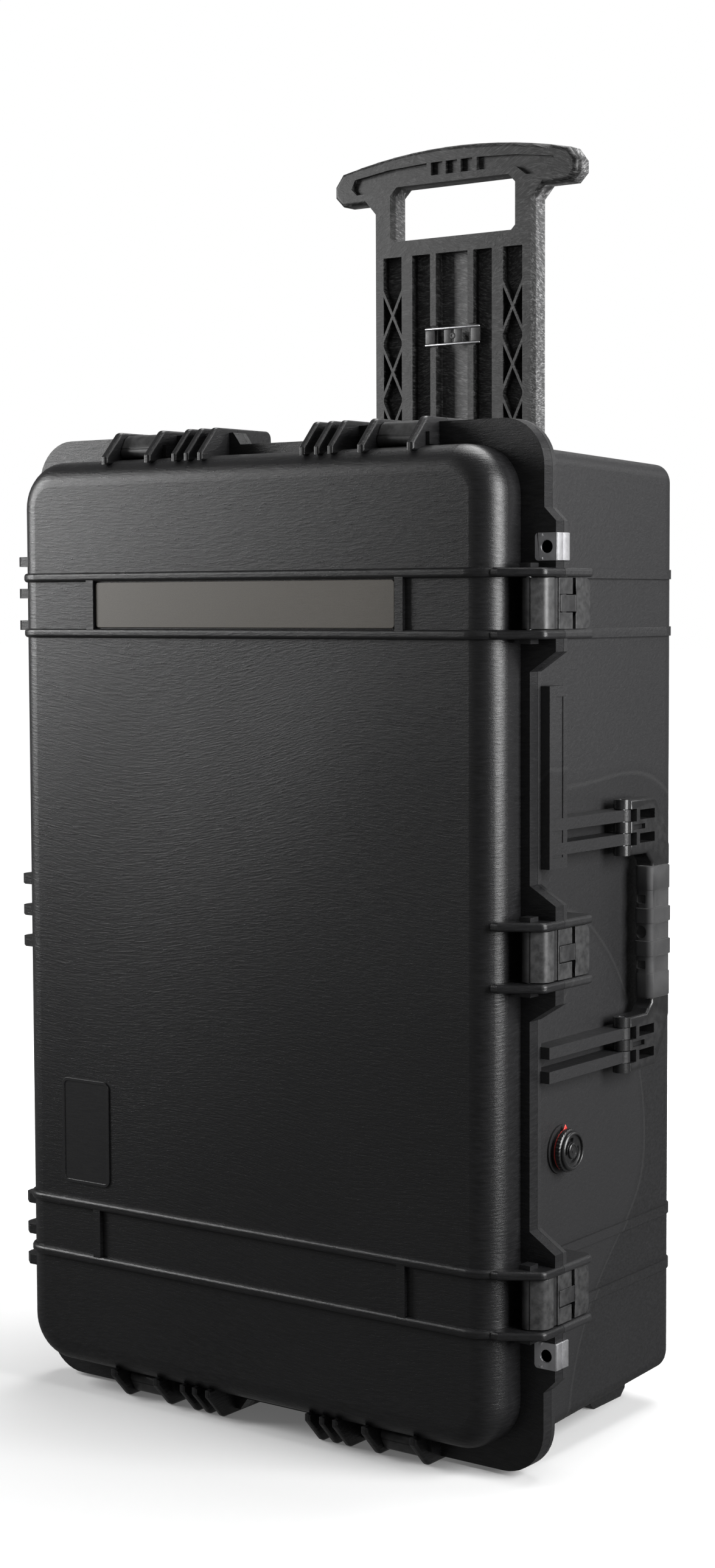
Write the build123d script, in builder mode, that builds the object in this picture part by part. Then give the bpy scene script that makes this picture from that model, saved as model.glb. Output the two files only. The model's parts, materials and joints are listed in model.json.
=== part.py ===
from build123d import *
from math import cos, radians, sin
import os

# Hard equipment case: a wheeled travel case that stands on its short end.
# Frame: +Z up, the lid faces -Y, the side latches are at +X, the hinges at -X.
# The origin is at floor level, in the middle of the outer box. Millimetres.

# ---------------------------------------------------------------- overall size
CASE_W = 520.0
CASE_H = 802.0
CASE_D = 316.0
MID_Z = CASE_H / 2
PART_Y = -105.0            # parting plane between lid and base
SEAM = 0.15                # half of the gap at the parting plane

# ---------------------------------------------------------------- moulded body
BODY_W = 475.0
BODY_H = 757.0
BODY_CX = -9.5             # the latches stand out further than the hinges do
LID_R = 38.0
BASE_R = 12.0
LID_EDGE_R = 21.0           # round edge of the lid's front
BASE_EDGE_R = 24.0          # round edge of the base's back
WALL = 5.0
DRAFT_Z = 0.03             # the base narrows by this much per mm of depth, top and bottom
DRAFT_X = 0.016            # and by this much on its sides
RIB_RISE = 4.0             # of the bands that cross the lid
RIB_W = 7.5
SIDE_RIB_RISE = 2.4        # of the bands along the base
LID_FACE_Y = -CASE_D / 2 + RIB_RISE
BACK_Y = 130.0
LEFT_X = BODY_CX - BODY_W / 2
RIGHT_X = BODY_CX + BODY_W / 2
BAND_OUT = 283.3           # heights of the band ribs above and below mid height
BAND_IN = 237.6
BAND_MID = (BAND_OUT + BAND_IN) / 2
BAND_X = (-163.0, 146.4)   # upright ribs inside the bands
BAND_BACK = 122.0          # where the bands end on the base's round back edge

# ---------------------------------------------------------------- flange
LID_FLANGE_Y = -116.0
BASE_FLANGE_Y = -100.0
FLANGE_LEFT = -255.3
FLANGE_RIGHT = 236.0       # narrow stretches
FLANGE_CORNER = 248.5
FLANGE_WIDE = CASE_W / 2 - 1.4  # beside the latches and the padlock holes
FLANGE_R = 36.0
FLANGE_UP = 387.8
FLANGE_UP_CORNER = 397.5
PADLOCK_Z = 302.0
PADLOCK_X = 251.3
PADLOCK_R = 5.0

# ---------------------------------------------------------------- latches
LATCH_GAP = 39.0           # clear width between the two shelves
SHELF_T = 6.7
TOP_LATCH_X = 129.1
TOP_REACH = CASE_H / 2 - BODY_H / 2
SIDE_REACH = CASE_W / 2 - RIGHT_X
SHELF_BACK = 40.5          # depth of the thick part of a shelf behind the seam
LATCH_W = 38.0
PIN_A = -16.5              # latch pin, inward from the shelf's outer edge
PIN_B = -24.0              # latch pin, in front of the parting plane
PIN_R = 2.0
STRIKE_A = -18.5           # edge of the flange under a latch
LEVER_A = -9.0             # lever pivot
LEVER_B = 6.0
CROSSBAR = (20.0, 40.5)    # depth span of the lever's crossbar behind the seam
LEVER_REACH = 20.8         # how far inward a latch and its lever reach

# ---------------------------------------------------------------- hinges
HINGE_X = -255.5
HINGE_R = 4.5
HINGE_PITCH = 26.5
HINGE_RIB = 8.0
HINGE_Z = (MID_Z - 270.4, MID_Z + 3.0, MID_Z + 270.4)
HINGE_PIN_R = 2.0
HINGE_PIN_HALF = 30.5

# ---------------------------------------------------------------- side handle
SH_X = 240.0
SH_Y = 12.0
SH_R = 6.75
SH_PIN_R = 3.0
SH_RAILS = ((72.0, 81.0), (90.5, 99.5))
SH_FINGERS = ((63.5, 71.5), (81.5, 90.0), (100.0, 107.5))
GRIP_HALF = 53.0

# ---------------------------------------------------------------- pull handle
PH_X = -2.5                # centre of the column
PH_W = 161.0
PH_FRONT = 132.8
PH_BACK = 155.8
PH_TOP = 1054.5
PH_BOTTOM = 300.0
CHANNEL_TOP = 690.0
CHANNEL_BOTTOM = 40.0
PH_MID_Y = (PH_FRONT + PH_BACK) / 2

# ---------------------------------------------------------------- wheels
WHEEL_R = 37.0
WHEEL_W = 24.0
WHEEL_Y = 112.0
WHEEL_Z = 38.0             # the wheels clear the floor by 1 mm while the case stands
AXLE_R = 4.0
WELL_NEAR = 101.5          # well's inner and outer walls, from the body's centre
WELL_FAR = 167.5
WHEEL_OFFSETS = (119.5, 149.5)
FOOT_SPAN = (172.0, 195.5)
LINER_T = 3.0              # wall of a wheel well

# ---------------------------------------------------------------- pressure valve
VALVE_Y = -59.0
VALVE_Z = 243.0
VALVE_R = 17.0

os.makedirs("parts", exist_ok=True)


def at_y(y):
    """Plane across the depth: sketch x is +X, sketch y is +Z, its normal is -Y."""
    return Plane.XZ.offset(-y)


def at_x(x):
    """Plane across the width: sketch x is +Y, sketch y is +Z, its normal is +X."""
    return Plane.YZ.offset(x)


def block(x0, x1, y0, y1, z0, z1, mode=Mode.ADD):
    with Locations(((x0 + x1) / 2, (y0 + y1) / 2, (z0 + z1) / 2)):
        Box(x1 - x0, y1 - y0, z1 - z0, mode=mode)


def prism(plane, points, amount, mode=Mode.ADD):
    with BuildSketch(plane) as outline:
        Polygon(*points, align=None)
    extrude(outline.sketch, amount=amount, mode=mode)


def rod(plane, x, y, radius, amount, mode=Mode.ADD):
    with BuildSketch(plane) as disc:
        with Locations((x, y)):
            Circle(radius)
    extrude(disc.sketch, amount=amount, mode=mode)


def section(y, w, h, r):
    """Round-cornered outline of the body in the plane at y."""
    with BuildSketch(at_y(y)) as outline:
        with Locations((BODY_CX, MID_Z)):
            RectangleRounded(w, h, r)
    return outline.sketch


def drafted_block(grow, y0, y1):
    """The base's form, larger by grow on every side: drafted walls and a round back edge."""
    edge = BASE_EDGE_R + grow
    radius = BASE_R + grow
    start = y1 - edge
    depth = start - PART_Y
    w = BODY_W + 2 * (grow - DRAFT_X * depth)
    h = BODY_H + 2 * (grow - DRAFT_Z * depth)
    loft([section(y0, BODY_W + 2 * grow, BODY_H + 2 * grow, radius), section(start, w, h, radius)])
    steps = []
    for i in range(7):
        angle = radians(15 * i)
        inset = 2 * edge * (1 - cos(angle))
        steps.append(section(start + edge * sin(angle), w - inset, h - inset, radius))
    loft(steps)


def save(builder, label, colour):
    builder.part.label = label
    builder.part.color = Color(*colour)
    export_step(builder.part, "parts/" + label + ".step")


BLACK = (0.05, 0.05, 0.055)
GREY = (0.2, 0.2, 0.2)
STEEL = (0.7, 0.7, 0.72)
BRONZE = (0.2, 0.18, 0.14)
RED = (0.7, 0.05, 0.04)


# ================================================================ latch sites
# A site's plane has its origin on the shelves' outer edge at the parting plane,
# its x axis outward (a), its y axis backward (b) and its z axis along the pin (w).
def latch_site(x, z, outward):
    return Plane(origin=(x, PART_Y, z), x_dir=outward, z_dir=Vector(*outward).cross(Vector(0, 1, 0)))


SIDE_SITES = {
    "side_upper": latch_site(CASE_W / 2, MID_Z + BAND_MID, (1, 0, 0)),
    "side_middle": latch_site(CASE_W / 2, MID_Z, (1, 0, 0)),
    "side_lower": latch_site(CASE_W / 2, MID_Z - BAND_MID, (1, 0, 0)),
}
END_SITES = {
    "top_left": latch_site(-TOP_LATCH_X, CASE_H, (0, 0, 1)),
    "top_right": latch_site(TOP_LATCH_X, CASE_H, (0, 0, 1)),
    "bottom_left": latch_site(-TOP_LATCH_X, 0, (0, 0, -1)),
    "bottom_right": latch_site(TOP_LATCH_X, 0, (0, 0, -1)),
}
SITES = {**SIDE_SITES, **END_SITES}
SHELF_W = (-LATCH_GAP / 2 - SHELF_T, LATCH_GAP / 2)


def lid_outline(reach):
    """Outline of a lid shelf or guard rib in a site's a and b."""
    return [(-reach - 4, -46), (-reach + 2, -46), (0, -27), (0, -SEAM), (-reach - 4, -SEAM)]


def base_outline(reach):
    """Outline of a base shelf or guard rib in a site's a and b."""
    back = SHELF_BACK + 3
    return [(-reach - 4, SEAM), (0, SEAM), (0, back), (-reach + 2, back + 1), (-reach - 4, back + 27)]


def plank(outline, corner, thickness, edge):
    """A shelf or rib in a site's axes, with one rounded corner and rounded long edges."""
    with BuildPart() as form:
        with BuildSketch() as shape:
            Polygon(*outline, align=None)
            tip = Vector(*outline[corner])
            fillet(shape.vertices().sort_by(lambda vertex: (Vector(vertex) - tip).length)[0], 6)
        extrude(amount=thickness)
        seam = min(abs(y) for _, y in outline)
        rims = form.edges().filter_by(Plane.XY).filter_by(lambda e: abs(e.center().Y) > seam + 0.01)
        fillet(rims, edge)
    return form.part


SHELF_EDGE = 2.4
GUARD_X = (51.0, 64.9, 77.8)
GUARD_T = 5.2
GUARD_EDGE = 1.7
LID_PLANKS = {
    "side": plank(lid_outline(SIDE_REACH), 2, SHELF_T, SHELF_EDGE),
    "end": plank(lid_outline(TOP_REACH), 2, SHELF_T, SHELF_EDGE),
    "guard": plank(lid_outline(TOP_REACH), 2, GUARD_T, GUARD_EDGE),
}
BASE_PLANKS = {
    "side": plank(base_outline(SIDE_REACH), 2, SHELF_T, SHELF_EDGE),
    "end": plank(base_outline(TOP_REACH), 2, SHELF_T, SHELF_EDGE),
    "guard": plank(base_outline(TOP_REACH), 2, GUARD_T, GUARD_EDGE),
}


def guard_ribs(planks):
    """The guard ribs between the two latches of each short end."""
    for outward, height in (((0, 0, 1), CASE_H), ((0, 0, -1), 0.0)):
        for side in (-1, 1):
            for x in GUARD_X:
                site = latch_site(side * x, height, outward)
                with Locations(site.offset(-GUARD_T / 2)):
                    add(planks["guard"])


def shelves(planks):
    """A pair of shelves at each latch."""
    for name, site in SITES.items():
        for w in SHELF_W:
            with Locations(site.offset(w)):
                add(planks["side" if name in SIDE_SITES else "end"])


# ================================================================ flange outline
def flange_block(y, amount):
    """The flange, wide at the corners, widest beside the latches, narrow between them."""
    half = FLANGE_UP_CORNER
    with BuildSketch(at_y(y)) as rim:
        with Locations(((FLANGE_LEFT + FLANGE_RIGHT) / 2, MID_Z)):
            RectangleRounded(FLANGE_RIGHT - FLANGE_LEFT, 2 * half, FLANGE_R)
        for side in (-1, 1):
            with Locations(((FLANGE_LEFT + FLANGE_CORNER) / 2, MID_Z + side * (half - 90))):
                RectangleRounded(FLANGE_CORNER - FLANGE_LEFT, 180, FLANGE_R)
            Polygon(
                (FLANGE_RIGHT - 8, MID_Z + side * 202),
                (FLANGE_RIGHT, MID_Z + side * 210),
                (FLANGE_WIDE, MID_Z + side * 225),
                (FLANGE_WIDE, MID_Z + side * 321),
                (FLANGE_CORNER, MID_Z + side * 331),
                (FLANGE_RIGHT - 8, MID_Z + side * 331),
                align=None,
            )
            Polygon(
                (-45, MID_Z + side * (half + 1)),
                (45, MID_Z + side * (half + 1)),
                (37, MID_Z + side * FLANGE_UP),
                (-37, MID_Z + side * FLANGE_UP),
                align=None,
                mode=Mode.SUBTRACT,
            )
        Polygon(
            (FLANGE_RIGHT - 8, MID_Z - 59),
            (FLANGE_RIGHT, MID_Z - 51),
            (FLANGE_WIDE, MID_Z - 37),
            (FLANGE_WIDE, MID_Z + 37),
            (FLANGE_RIGHT, MID_Z + 51),
            (FLANGE_RIGHT - 8, MID_Z + 59),
            align=None,
        )
    extrude(rim.sketch, amount=amount)


def latch_windows():
    """Openings in the flange under the latches, whose inner edge is the strike."""
    for site in SITES.values():
        outline = [(STRIKE_A, -20), (3, -20), (3, 12), (STRIKE_A, 12)]
        prism(site.offset(-LATCH_GAP / 2), outline, LATCH_GAP, Mode.SUBTRACT)


def latch_sweeps():
    """Clears the base shelves where the shut levers swing past with the lid."""
    for site in END_SITES.values():
        x = site.origin.X
        swing = Vector(x + LATCH_W / 2 - HINGE_X, CROSSBAR[1]).length + 0.3
        outline = []
        for i in range(13):
            back = SEAM + CROSSBAR[1] * i / 12
            outline.append((HINGE_X + (swing**2 - back**2) ** 0.5, PART_Y + back))
        outline += [(x, PART_Y + SEAM + CROSSBAR[1]), (x, PART_Y)]
        low = site.origin.Z - LEVER_REACH if site.origin.Z > MID_Z else site.origin.Z
        prism(Plane.XY.offset(low), outline, LEVER_REACH, Mode.SUBTRACT)


def padlock_holes():
    for side in (-1, 1):
        rod(at_y(-90), PADLOCK_X, MID_Z + side * PADLOCK_Z, PADLOCK_R, 40, Mode.SUBTRACT)


def hinge_slots(centres, width):
    """Slots that clear the other half's knuckles."""
    reach = HINGE_R + 1.0
    for z in centres:
        block(
            HINGE_X - 10, HINGE_X + reach, PART_Y - reach, PART_Y + reach,
            z - width / 2, z + width / 2, Mode.SUBTRACT,
        )


LID_KNUCKLES = [z + i * HINGE_PITCH for z in HINGE_Z for i in (-1, 0, 1)]
BASE_KNUCKLES = [z + i * HINGE_PITCH for z in HINGE_Z for i in (-0.5, 0.5)]
BASE_KNUCKLE_W = HINGE_PITCH - HINGE_RIB - 1.0


# ================================================================ lid
with BuildPart() as lid_band:
    with BuildSketch(Plane.XY.offset(-RIB_W / 2)) as outline:
        with Locations((BODY_CX, (PART_Y - CASE_D / 2) / 2 + 20)):
            RectangleRounded(BODY_W + 2 * SIDE_RIB_RISE, PART_Y + CASE_D / 2 + 40, 25)
    extrude(amount=RIB_W)
    fillet(lid_band.edges().filter_by(Axis.Z, reverse=True), 2.8)
    block(-400, 400, PART_Y - SEAM, PART_Y + 80, -20, 20, Mode.SUBTRACT)

with BuildPart() as lid_cavity:
    hollow = section(PART_Y, BODY_W - 2 * WALL, BODY_H - 2 * WALL, LID_R - WALL)
    extrude(hollow, amount=PART_Y - LID_FACE_Y - WALL)
    fillet(lid_cavity.faces().sort_by(Axis.Y)[0].edges(), LID_EDGE_R - WALL)

with BuildPart() as lid_shell:
    extrude(section(PART_Y - SEAM, BODY_W, BODY_H, LID_R), amount=PART_Y - SEAM - LID_FACE_Y)
    fillet(lid_shell.faces().sort_by(Axis.Y)[0].edges(), LID_EDGE_R)
    for level in (-BAND_OUT, -BAND_IN, BAND_IN, BAND_OUT):
        with Locations((0, 0, MID_Z + level)):
            add(lid_band.part)
    for side in (-1, 1):
        for x in BAND_X:
            block(
                x - RIB_W / 2, x + RIB_W / 2, -CASE_D / 2 + 0.6, LID_FACE_Y + 4,
                MID_Z + side * BAND_MID - 23, MID_Z + side * BAND_MID + 23,
            )
    flange_block(PART_Y - SEAM, PART_Y - SEAM - LID_FLANGE_Y)
    shelves(LID_PLANKS)
    guard_ribs(LID_PLANKS)
    latch_windows()
    for z in LID_KNUCKLES:
        low = Plane.XY.offset(z - HINGE_RIB / 2)
        profile = [
            (LEFT_X + 6, -146), (LEFT_X - 3, -146), (-258.5, -139), (-260, -134),
            (-260, PART_Y), (LEFT_X + 6, PART_Y - SEAM),
        ]
        prism(low, profile, HINGE_RIB)
        rod(low, HINGE_X, PART_Y, HINGE_R, HINGE_RIB)
    hinge_slots(BASE_KNUCKLES, BASE_KNUCKLE_W + 1.0)
    add(lid_cavity.part, mode=Mode.SUBTRACT)
    # gasket groove
    with BuildSketch(at_y(PART_Y)) as groove:
        with Locations((BODY_CX, MID_Z)):
            RectangleRounded(BODY_W + 2, BODY_H + 2, LID_R + 1)
            RectangleRounded(BODY_W - 6, BODY_H - 6, LID_R - 3, mode=Mode.SUBTRACT)
    extrude(groove.sketch, amount=3.5, mode=Mode.SUBTRACT)
    padlock_holes()
    # pin bosses on the outer faces of the shelves, and the pin bores
    for site in SITES.values():
        for w in (-LATCH_GAP / 2 - SHELF_T - 3.5, LATCH_GAP / 2 + SHELF_T):
            prism(site.offset(w), [(-21.5, -29), (-12, -29), (-12, -18), (-21.5, -18)], 3.5)
        rod(site.offset(-28), PIN_A, PIN_B, PIN_R, 56, Mode.SUBTRACT)
    for z in HINGE_Z:
        rod(Plane.XY.offset(z - 33), HINGE_X, PART_Y, HINGE_PIN_R, 66, Mode.SUBTRACT)
save(lid_shell, "lid_shell", BLACK)

with BuildPart() as lid_gasket:
    with BuildSketch(at_y(PART_Y - 0.3)) as ring:
        with Locations((BODY_CX, MID_Z)):
            RectangleRounded(BODY_W + 1.6, BODY_H + 1.6, LID_R + 0.8)
            RectangleRounded(BODY_W - 5.6, BODY_H - 5.6, LID_R - 2.8, mode=Mode.SUBTRACT)
    extrude(amount=3.2)
save(lid_gasket, "lid_gasket", GREY)

for number, z in enumerate(HINGE_Z, start=1):
    with BuildPart() as hinge_pin:
        rod(Plane.XY.offset(z - HINGE_PIN_HALF), HINGE_X, PART_Y, HINGE_PIN_R, 2 * HINGE_PIN_HALF)
    save(hinge_pin, f"hinge_pin_{number}", STEEL)

# nameplate between the upper band ribs, left blank
NAMEPLATE_W = BAND_X[1] - BAND_X[0] - RIB_W - 2.4
NAMEPLATE_H = BAND_OUT - BAND_IN - RIB_W - 1.6
with BuildPart() as nameplate:
    with BuildSketch(at_y(LID_FACE_Y)) as plate:
        with Locations((sum(BAND_X) / 2, MID_Z + BAND_MID)):
            RectangleRounded(NAMEPLATE_W, NAMEPLATE_H, 3)
    extrude(amount=1.6)
    chamfer(nameplate.faces().sort_by(Axis.Y)[0].edges(), 0.4)
save(nameplate, "nameplate", BRONZE)

# small raised-rim plate on the lower left of the lid, left blank
LABEL_X = (-202.0, -150.5)
LABEL_Z = (180.0, 268.0)
with BuildPart() as label_plate:
    with BuildSketch(at_y(LID_FACE_Y)) as plate:
        with Locations((sum(LABEL_X) / 2, sum(LABEL_Z) / 2)):
            RectangleRounded(LABEL_X[1] - LABEL_X[0], LABEL_Z[1] - LABEL_Z[0], 6)
    extrude(amount=1.2)
    with BuildSketch(at_y(LID_FACE_Y - 0.6)) as field:
        with Locations((sum(LABEL_X) / 2, sum(LABEL_Z) / 2)):
            RectangleRounded(LABEL_X[1] - LABEL_X[0] - 5, LABEL_Z[1] - LABEL_Z[0] - 5, 3.5)
    extrude(amount=2, mode=Mode.SUBTRACT)
save(label_plate, "label_plate", GREY)

# padlock protectors: a plate on the lid's tab, folded back past the base's tab
PLATE_HALF = 10.3
PLATE_T = 1.2
for name, side in (("upper", 1), ("lower", -1)):
    z = MID_Z + side * PADLOCK_Z
    face = LID_FLANGE_Y
    with BuildPart() as protector:
        block(241, CASE_W / 2, face - PLATE_T, face, z - PLATE_HALF, z + PLATE_HALF)
        fillet(protector.edges().filter_by(Axis.Y).sort_by(Axis.X)[:2], 3)
        block(CASE_W / 2 - 1.1, CASE_W / 2, face - PLATE_T, BASE_FLANGE_Y, z - PLATE_HALF, z + PLATE_HALF)
        rod(at_y(-100), PADLOCK_X, z, PADLOCK_R, 30, Mode.SUBTRACT)
    save(protector, f"padlock_plate_{name}", STEEL)

# ================================================================ latches
BODY_OUTLINE = [
    (-20.5, -21), (-13, -28), (-5, -23.5), (-2.5, -19), (-2.5, 14.6), (-6, 14.6),
    (-15.5, 12), (-17.3, 5), (-17.3, -16),
]
STEM_OUTLINE = [
    (-3.4, -1), (-3.4, 21), (-11, 21), (-12, 13), (-18.1, 11.5), (-18.1, 6.4),
    (-13, 5.4), (-12, -1),
]
SLOT_HALF = 6.8
STEM_HALF = 6.2
TRUNNION_HALF = 14.0

for name, site in SITES.items():
    with BuildPart() as latch_body:
        prism(site.offset(-LATCH_W / 2), BODY_OUTLINE, LATCH_W)
        rod(site.offset(-LATCH_W / 2), PIN_A, PIN_B, 5.0, LATCH_W)
        # slot for the lever, its pivot bores and a shallow step across the face
        slot = [(-25, -3.5), (3, -3.5), (3, 20), (-25, 20)]
        prism(site.offset(-SLOT_HALF), slot, 2 * SLOT_HALF, Mode.SUBTRACT)
        step = [(-4, -11), (3, -11), (3, -5), (-4, -5)]
        prism(site.offset(-LATCH_W / 2), step, LATCH_W, Mode.SUBTRACT)
        bore_half = TRUNNION_HALF + 0.2
        rod(site.offset(-bore_half), LEVER_A, LEVER_B, 2.1, 2 * bore_half, Mode.SUBTRACT)
        rod(site.offset(-LATCH_W / 2), PIN_A, PIN_B, PIN_R + 0.1, LATCH_W, Mode.SUBTRACT)
    save(latch_body, f"latch_body_{name}", BLACK)

    with BuildPart() as latch_lever:
        prism(site.offset(-STEM_HALF), STEM_OUTLINE, 2 * STEM_HALF)
        bar = [(-3.2, CROSSBAR[0]), (-3.2, CROSSBAR[1]), (-11.5, CROSSBAR[1]), (-11.5, CROSSBAR[0])]
        prism(site.offset(-LATCH_W / 2), bar, LATCH_W)
        outward = Axis((0, 0, 0), site.x_dir)
        corners = latch_lever.edges().filter_by(outward).filter_by(lambda edge: edge.length > 8)
        fillet(corners.sort_by(Axis.Y)[-2:], 6)
        near, far = CROSSBAR[0] + 3, CROSSBAR[1] - 3
        hollow = [(-6, near), (-6, far), (-14, far), (-14, near)]
        prism(site.offset(-LATCH_W / 2 + 3), hollow, LATCH_W - 6, Mode.SUBTRACT)
        rod(site.offset(-TRUNNION_HALF), LEVER_A, LEVER_B, 2.0, 2 * TRUNNION_HALF)
    save(latch_lever, f"latch_lever_{name}", GREY)

    with BuildPart() as latch_pin:
        rod(site.offset(-28), PIN_A, PIN_B, PIN_R, 56)
    save(latch_pin, f"latch_pin_{name}", STEEL)

# ================================================================ base
with BuildPart() as base_envelope:
    drafted_block(SIDE_RIB_RISE, PART_Y + SEAM, BACK_Y)

with BuildPart() as base_cavity:
    drafted_block(-WALL, PART_Y, BACK_Y - WALL)

base_bands = []
for level in (-BAND_OUT, -BAND_IN, BAND_IN, BAND_OUT):
    with BuildPart() as base_band:
        z = MID_Z + level
        block(-400, 400, PART_Y, BAND_BACK, z - RIB_W / 2, z + RIB_W / 2)
        add(base_envelope.part, mode=Mode.INTERSECT)
    base_bands.append(base_band.part)


def side_well(side):
    """X limits of a wheel well."""
    near = BODY_CX + side * WELL_NEAR
    far = BODY_CX + side * WELL_FAR
    return min(near, far), max(near, far)


with BuildPart() as base_shell:
    drafted_block(0, PART_Y + SEAM, BACK_Y)
    for band in base_bands:
        add(band)
    flange_block(BASE_FLANGE_Y, BASE_FLANGE_Y - PART_Y - SEAM)
    shelves(BASE_PLANKS)
    guard_ribs(BASE_PLANKS)
    latch_windows()
    latch_sweeps()
    # raised pad beside the flange, with a blank recess
    block(RIGHT_X - 5, 244, BASE_FLANGE_Y - 1, -76, 463, 600)
    block(243.2, 250, BASE_FLANGE_Y + 3, -82, 471, 592, Mode.SUBTRACT)
    # rails of the side handle, with their knuckles
    for low, high in SH_RAILS:
        for start in (MID_Z + low, MID_Z - high):
            plane = Plane.XY.offset(start)
            profile = [
                (RIGHT_X - 8, BASE_FLANGE_Y - 1), (244, BASE_FLANGE_Y - 1), (244, SH_Y - 5),
                (SH_X, SH_Y), (RIGHT_X - 8, SH_Y + 16),
            ]
            prism(plane, profile, high - low)
            rod(plane, SH_X, SH_Y, SH_R, high - low)
            rod(plane, SH_X, SH_Y, SH_PIN_R, high - low, Mode.SUBTRACT)
    # hinge knuckles
    for z in BASE_KNUCKLES:
        low = Plane.XY.offset(z - BASE_KNUCKLE_W / 2)
        profile = [
            (LEFT_X + 6, PART_Y + SEAM), (HINGE_X, PART_Y + SEAM), (-260, PART_Y + 1.5),
            (-260, -84), (-252, -70), (LEFT_X + 6, -58),
        ]
        prism(low, profile, BASE_KNUCKLE_W)
        rod(low, HINGE_X, PART_Y, HINGE_R, BASE_KNUCKLE_W)
        rod(low, HINGE_X, PART_Y, HINGE_PIN_R + 0.1, BASE_KNUCKLE_W, Mode.SUBTRACT)
    hinge_slots(LID_KNUCKLES, HINGE_RIB + 1.0)
    # seat of the pressure valve
    rod(at_x(RIGHT_X - 3), VALVE_Y, VALVE_Z, VALVE_R + 2, 4)
    # feet beside the wheels
    for side in (-1, 1):
        near, far = sorted(BODY_CX + side * x for x in FOOT_SPAN)
        plane = Plane.YZ.offset(near)
        profile = [(52, 32), (56, 5), (61, 0), (104, 0), (111, 6), (114, 34)]
        prism(plane, profile, far - near)
    add(base_cavity.part, mode=Mode.SUBTRACT)
    rod(at_x(RIGHT_X - 20), VALVE_Y, VALVE_Z, 6, 40, Mode.SUBTRACT)
    padlock_holes()
    for side in (-1, 1):
        x0, x1 = side_well(side)
        block(x0, x1, WHEEL_Y - WHEEL_R - 5, BACK_Y + 20, 0, WHEEL_Z + WHEEL_R + 5, Mode.SUBTRACT)
        rod(at_x(x0 - LINER_T), WHEEL_Y, WHEEL_Z, AXLE_R, x1 - x0 + 2 * LINER_T, Mode.SUBTRACT)
save(base_shell, "base_shell", BLACK)

# wheel wells: moulded liners closed against the shell's inside, with a middle fin
for name, side in (("left", -1), ("right", 1)):
    x0, x1 = side_well(side)
    fin = BODY_CX + side * sum(WHEEL_OFFSETS) / 2
    well_front = WHEEL_Y - WHEEL_R - 5
    well_top = WHEEL_Z + WHEEL_R + 5
    with BuildPart() as wheel_well:
        block(x0 - LINER_T, x1 + LINER_T, well_front - LINER_T, BACK_Y, 5, well_top + LINER_T)
        block(x0, x1, well_front, BACK_Y + 5, 0, well_top, Mode.SUBTRACT)
        block(fin - 1.5, fin + 1.5, well_front, WHEEL_Y + 10, WHEEL_Z - 9, well_top)
        add(base_cavity.part, mode=Mode.INTERSECT)
        rod(at_x(x0 - 20), WHEEL_Y, WHEEL_Z, AXLE_R, x1 - x0 + 40, Mode.SUBTRACT)
    save(wheel_well, f"wheel_well_{name}", GREY)

    with BuildPart() as axle:
        rod(at_x(x0 - LINER_T), WHEEL_Y, WHEEL_Z, AXLE_R, x1 - x0 + 2 * LINER_T)
    save(axle, f"wheel_axle_{name}", STEEL)

    for place, offset in zip(("inner", "outer"), WHEEL_OFFSETS):
        x = BODY_CX + side * offset
        hub_r = WHEEL_R - 9
        with BuildPart() as hub:
            rod(at_x(x - WHEEL_W / 2 + 1), WHEEL_Y, WHEEL_Z, hub_r, WHEEL_W - 2)
            for face in (x - WHEEL_W / 2, x + WHEEL_W / 2 - 8):
                with BuildSketch(at_x(face)) as pockets:
                    with Locations((WHEEL_Y, WHEEL_Z)):
                        Circle(hub_r - 4)
                        Circle(10, mode=Mode.SUBTRACT)
                        with PolarLocations(0, 5):
                            Rectangle(hub_r, 5, align=(Align.MIN, Align.CENTER), mode=Mode.SUBTRACT)
                extrude(pockets.sketch, amount=8, mode=Mode.SUBTRACT)
            rod(at_x(x - WHEEL_W), WHEEL_Y, WHEEL_Z, AXLE_R + 0.06, 2 * WHEEL_W, Mode.SUBTRACT)
        save(hub, f"wheel_hub_{name}_{place}", GREY)

        with BuildPart() as tyre:
            rod(at_x(x - WHEEL_W / 2), WHEEL_Y, WHEEL_Z, WHEEL_R, WHEEL_W)
            fillet(tyre.edges().filter_by(GeomType.CIRCLE), 5)
            rod(at_x(x - WHEEL_W), WHEEL_Y, WHEEL_Z, hub_r, 2 * WHEEL_W, Mode.SUBTRACT)
        save(tyre, f"wheel_tyre_{name}_{place}", BLACK)

# sleeve that guides the pull handle on the back
SLEEVE_IN = PH_W / 2 + 0.6
SLEEVE_OUT = SLEEVE_IN + 5
with BuildPart() as handle_channel:
    block(PH_X - SLEEVE_OUT, PH_X + SLEEVE_OUT, BACK_Y, CASE_D / 2, CHANNEL_BOTTOM, CHANNEL_TOP)
    fillet(handle_channel.faces().sort_by(Axis.Y)[-1].edges().filter_by(Axis.Z), 3)
    for side in (-1, 1):
        edge = PH_X + side * SLEEVE_OUT
        lip = edge + side * 12
        block(min(edge, lip), max(edge, lip), BACK_Y, BACK_Y + 3, CHANNEL_BOTTOM, CHANNEL_TOP)
        for i in range(4):
            block(
                PH_X + side * 12 - 2, PH_X + side * 12 + 2, CASE_D / 2 - 0.9, CASE_D / 2,
                CHANNEL_BOTTOM + 40 + i * 150, CHANNEL_BOTTOM + 150 + i * 150, Mode.SUBTRACT,
            )
    block(
        PH_X - SLEEVE_IN, PH_X + SLEEVE_IN, PH_FRONT - 0.5, PH_BACK + 0.4,
        CHANNEL_BOTTOM - 5, CHANNEL_TOP + 5, Mode.SUBTRACT,
    )
save(handle_channel, "handle_channel", BLACK)

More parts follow.
